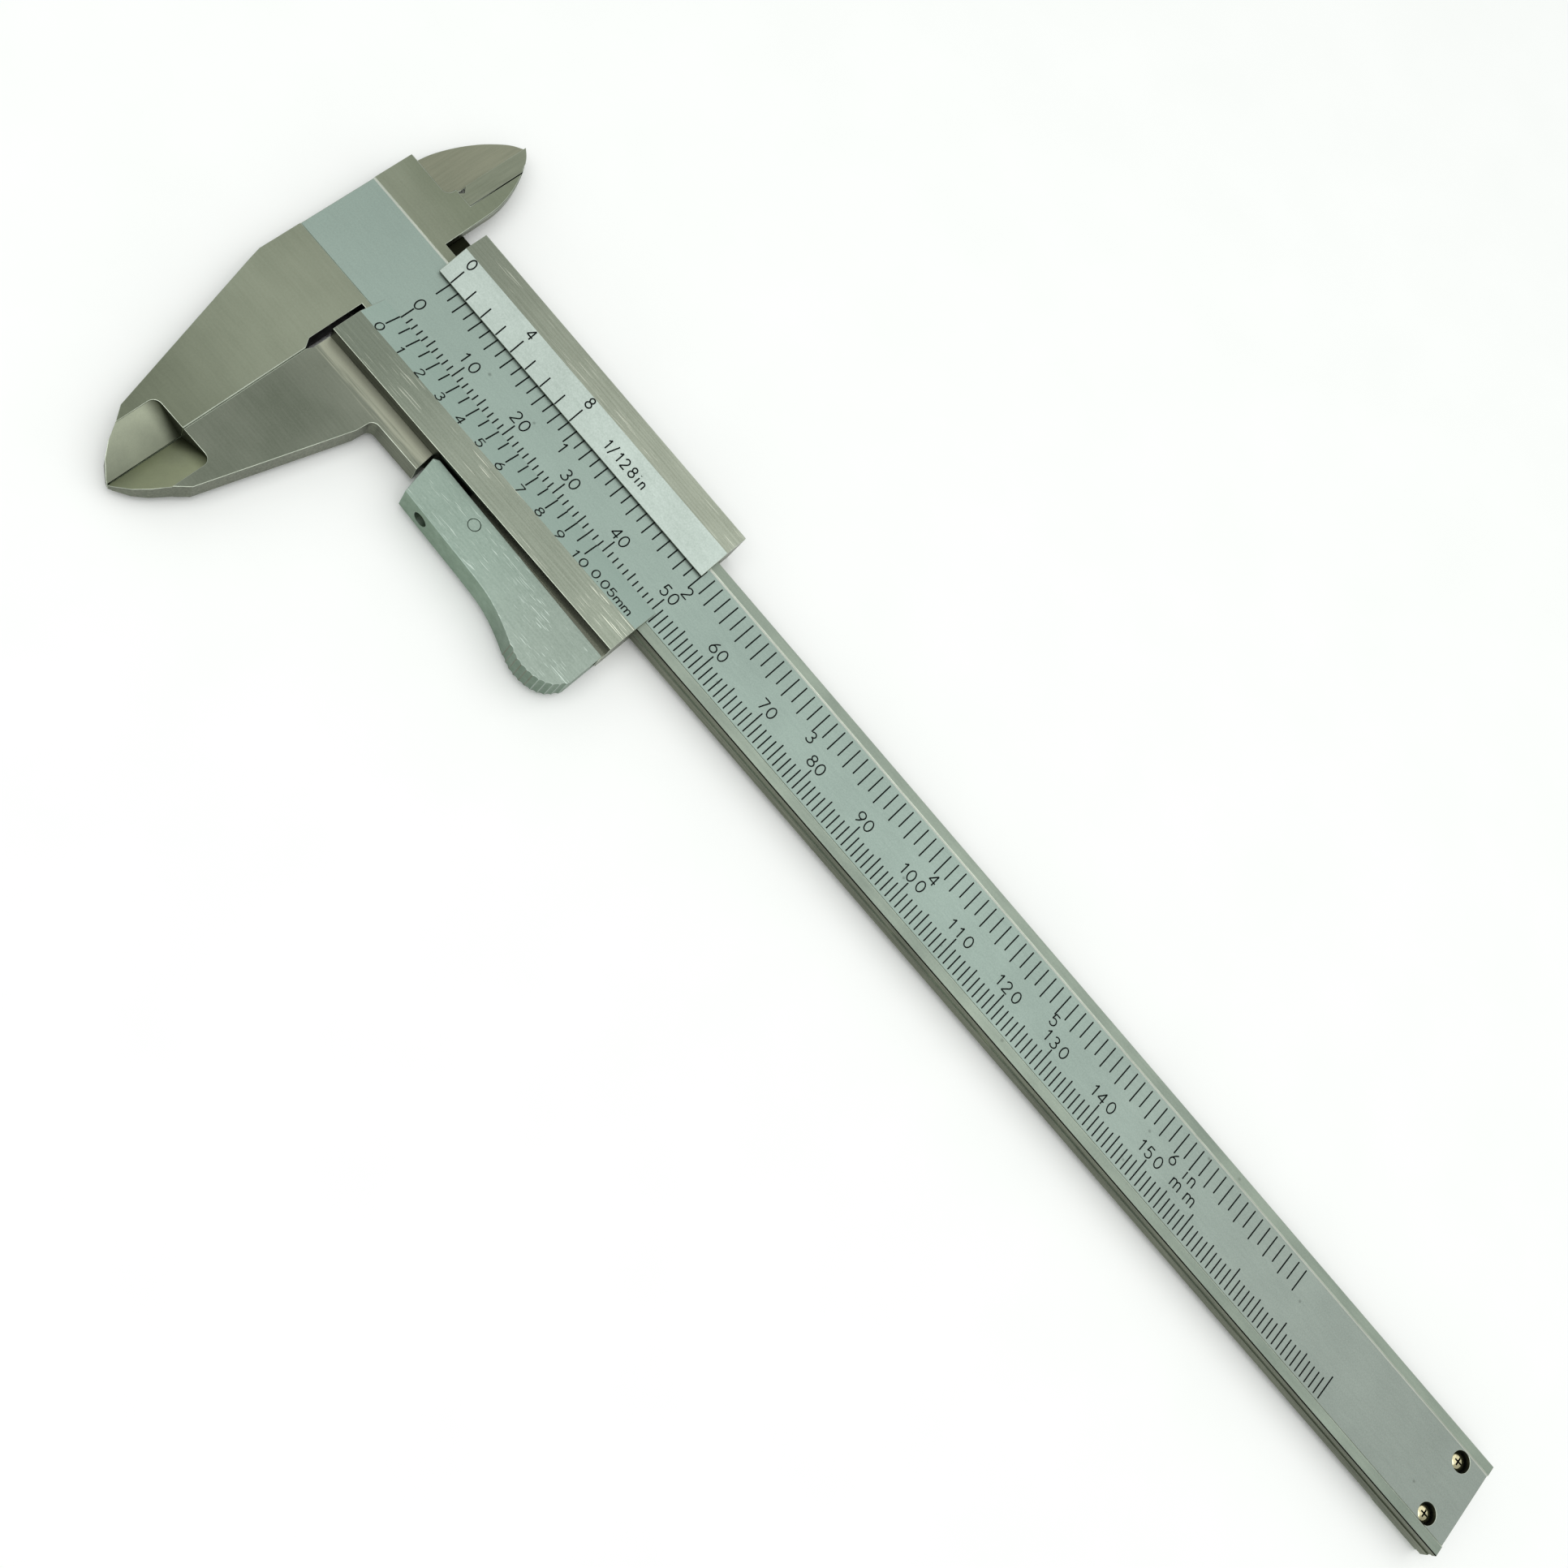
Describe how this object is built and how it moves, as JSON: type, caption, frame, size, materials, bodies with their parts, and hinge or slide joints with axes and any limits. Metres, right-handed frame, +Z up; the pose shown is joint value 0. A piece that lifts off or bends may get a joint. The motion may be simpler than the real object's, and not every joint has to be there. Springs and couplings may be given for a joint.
{
  "type": "vernier caliper",
  "caption": "Vernier caliper with outside and inside jaws, a sliding jaw with sprung thumb lever, and a depth rod.",
  "frame": {"origin": "bottom centre of the object's box, with the caliper lying on its back and its jaws closed", "axes": "+X along the beam from the jaws to the far end, +Y towards the inside jaws, +Z up out of the scale face"},
  "size_m": [0.2344, 0.0768, 0.0069],
  "materials": {
    "beam_steel": "ground steel edges with a satin chrome scale face",
    "slider_steel": "ground steel rails and jaws with satin chrome vernier faces",
    "ground_steel": "surface ground, fine parallel lines",
    "lever_chrome": "satin chrome with fine handling scratches",
    "screw_steel": "bright turned steel",
    "spring_steel": "drawn spring wire",
    "bronze": "plain bearing bronze"
  },
  "bodies": {
    "beam": {"main_beam": "beam_steel", "beam_end_plate": "ground_steel", "end_screw_lower": "screw_steel", "end_screw_upper": "screw_steel"},
    "slider": {"slider_body": "slider_steel", "gib_strip": "bronze", "gib_screw_left": "screw_steel", "gib_screw_right": "screw_steel", "depth_rod": "ground_steel", "depth_rod_rivet_front": "screw_steel", "depth_rod_rivet_rear": "screw_steel", "lever_pivot_pin": "lever_chrome", "lever_spring": "spring_steel"},
    "lever": {"thumb_lever": "lever_chrome", "brake_set_screw": "screw_steel"},
    "brake": {"brake_shoe": "bronze"}
  },
  "joints": [
    {"name": "slider_slide", "type": "slide", "parent": "beam", "child": "slider", "axis": [1, 0, 0], "range_m": [0, 0.155]},
    {"name": "lever_press", "type": "hinge", "parent": "slider", "child": "lever", "pos_m": [-0.0726, -0.0063, 0.00365], "axis": [0, 0, 1], "range_deg": [0, 1.8], "stiffness_Nm_per_rad": 0.2, "springref_deg": -5.73, "deforming": ["lever_spring"]},
    {"name": "brake_shift", "type": "slide", "parent": "slider", "child": "brake", "axis": [0, 1, 0], "range_m": [-0.0002, 0]}
  ],
  "couplings": [
    {"joint": "brake_shift", "follows": "lever_press", "m_per_rad": -0.005}
  ]
}
